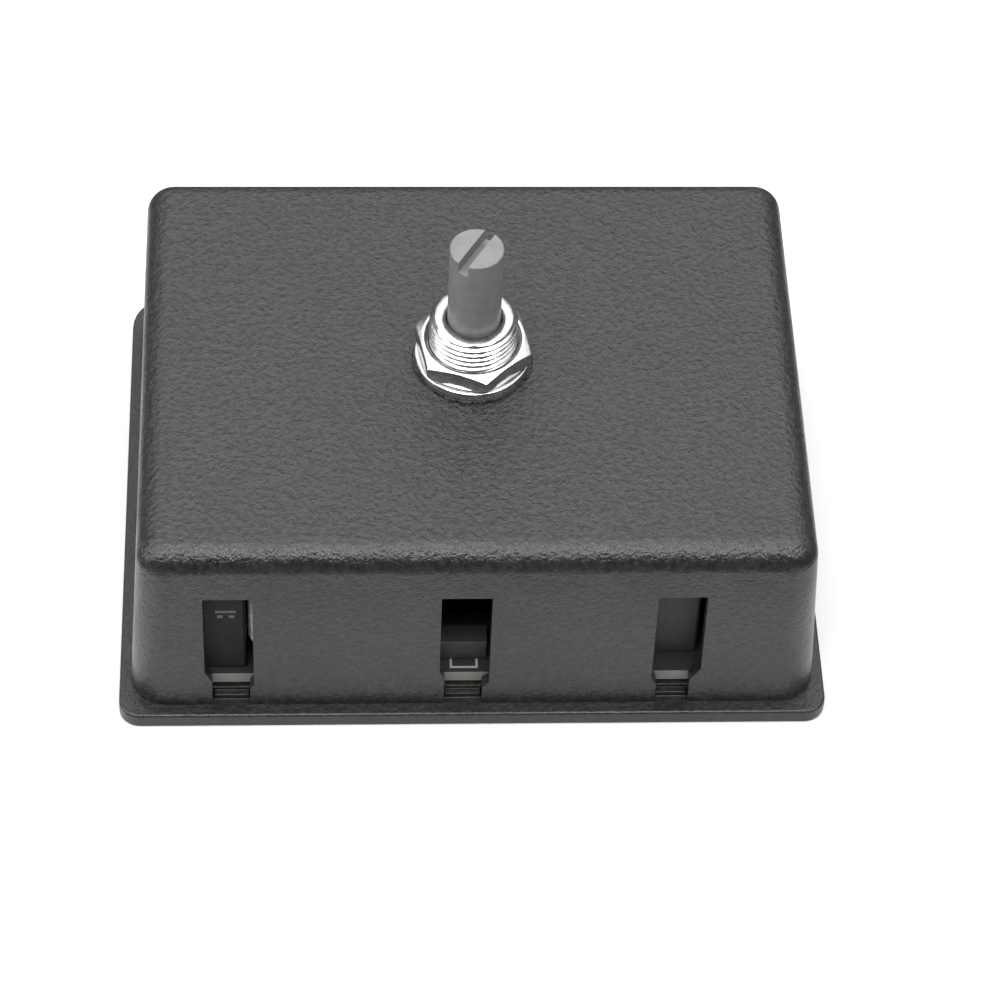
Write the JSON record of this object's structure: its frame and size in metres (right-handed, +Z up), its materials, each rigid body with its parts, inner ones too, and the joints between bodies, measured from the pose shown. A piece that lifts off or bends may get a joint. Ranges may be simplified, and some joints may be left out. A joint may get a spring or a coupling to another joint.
{
  "type": "rotary isolator switch",
  "caption": "Low rectangular snap-together box with a flanged base, a slotted turning spindle in a threaded bush with nut, and a cam switch on a circuit board inside.",
  "frame": {"origin": "centre of the base's underside, on the spindle's axis", "axes": "+Z up along the spindle, +X along the long side, -Y towards the wall with three keyhole windows"},
  "size_m": [0.08, 0.064, 0.0445],
  "materials": {
    "housing_plastic": "satin moulded black, fine spark-eroded grain",
    "base_plastic": "satin moulded black",
    "laminate": "dark solder-masked glass-epoxy laminate, bare pale edges",
    "potted_block": "black encapsulated case",
    "dipped_coat": "dipped epoxy coat, slightly pitted",
    "resistor_case": "dark grey conformal coat",
    "film_case": "mid grey moulded case",
    "switch_moulding": "black phenolic-type moulding",
    "cam_moulding": "ivory engineering plastic",
    "spindle_plastic": "plain grey engineering plastic",
    "spring_steel": "spring steel",
    "screw_steel": "zinc-plated steel",
    "bush_nickel": "bright nickel-plated brass",
    "washer_nickel": "bright nickel-plated steel",
    "nut_nickel": "bright nickel-plated brass",
    "tinned_brass": "tin-plated brass",
    "contact_copper": "copper alloy with silver-faced rivets"
  },
  "bodies": {
    "enclosure": {"housing": "housing_plastic", "base": "base_plastic", "circuit_board": "laminate", "board_screw_1": "screw_steel", "board_screw_2": "screw_steel", "board_screw_3": "screw_steel", "board_screw_4": "screw_steel", "tab_terminal_1": "tinned_brass", "tab_terminal_2": "tinned_brass", "tab_terminal_3": "tinned_brass", "tab_terminal_4": "tinned_brass", "tab_terminal_5": "tinned_brass", "tab_terminal_6": "tinned_brass", "encapsulated_transformer": "potted_block", "dipped_capacitor": "dipped_coat", "resistor_network": "resistor_case", "film_capacitor": "film_case", "contact_block": "switch_moulding", "contact_cover": "switch_moulding", "cover_screw_1": "screw_steel", "cover_screw_2": "screw_steel", "cover_screw_3": "screw_steel", "cover_screw_4": "screw_steel", "plunger_spring_a": "spring_steel", "fixed_contact_a1": "contact_copper", "fixed_contact_a2": "contact_copper", "plunger_spring_b": "spring_steel", "fixed_contact_b1": "contact_copper", "fixed_contact_b2": "contact_copper", "plunger_spring_c": "spring_steel", "fixed_contact_c1": "contact_copper", "fixed_contact_c2": "contact_copper", "mounting_bush": "bush_nickel", "washer": "washer_nickel", "hex_nut": "nut_nickel"},
    "rotor": {"spindle": "spindle_plastic", "cam": "cam_moulding", "spindle_clip": "spring_steel"},
    "carrier_a": {"contact_plunger_a": "cam_moulding", "moving_bridge_a": "contact_copper"},
    "carrier_b": {"contact_plunger_b": "cam_moulding", "moving_bridge_b": "contact_copper"},
    "carrier_c": {"contact_plunger_c": "cam_moulding", "moving_bridge_c": "contact_copper"}
  },
  "joints": [
    {"name": "spindle_turn", "type": "hinge", "parent": "enclosure", "child": "rotor", "pos_m": [0, 0, 0.03], "axis": [0, 0, 1], "range_deg": [-90, 0]},
    {"name": "carrier_a_slide", "type": "slide", "parent": "enclosure", "child": "carrier_a", "axis": [0, 1, 0], "range_m": [-0.0025, 0], "deforming": ["plunger_spring_a"]},
    {"name": "carrier_b_slide", "type": "slide", "parent": "enclosure", "child": "carrier_b", "axis": [-0.866, -0.5, 0], "range_m": [-0.0025, 0], "deforming": ["plunger_spring_b"]},
    {"name": "carrier_c_slide", "type": "slide", "parent": "enclosure", "child": "carrier_c", "axis": [0.866, -0.5, 0], "range_m": [-0.0025, 0], "deforming": ["plunger_spring_c"]}
  ],
  "couplings": [
    {"joint": "carrier_a_slide", "follows": "spindle_turn", "m_per_rad": 0.00159},
    {"joint": "carrier_b_slide", "follows": "spindle_turn", "m_per_rad": 0.00159},
    {"joint": "carrier_c_slide", "follows": "spindle_turn", "m_per_rad": 0.00159}
  ]
}
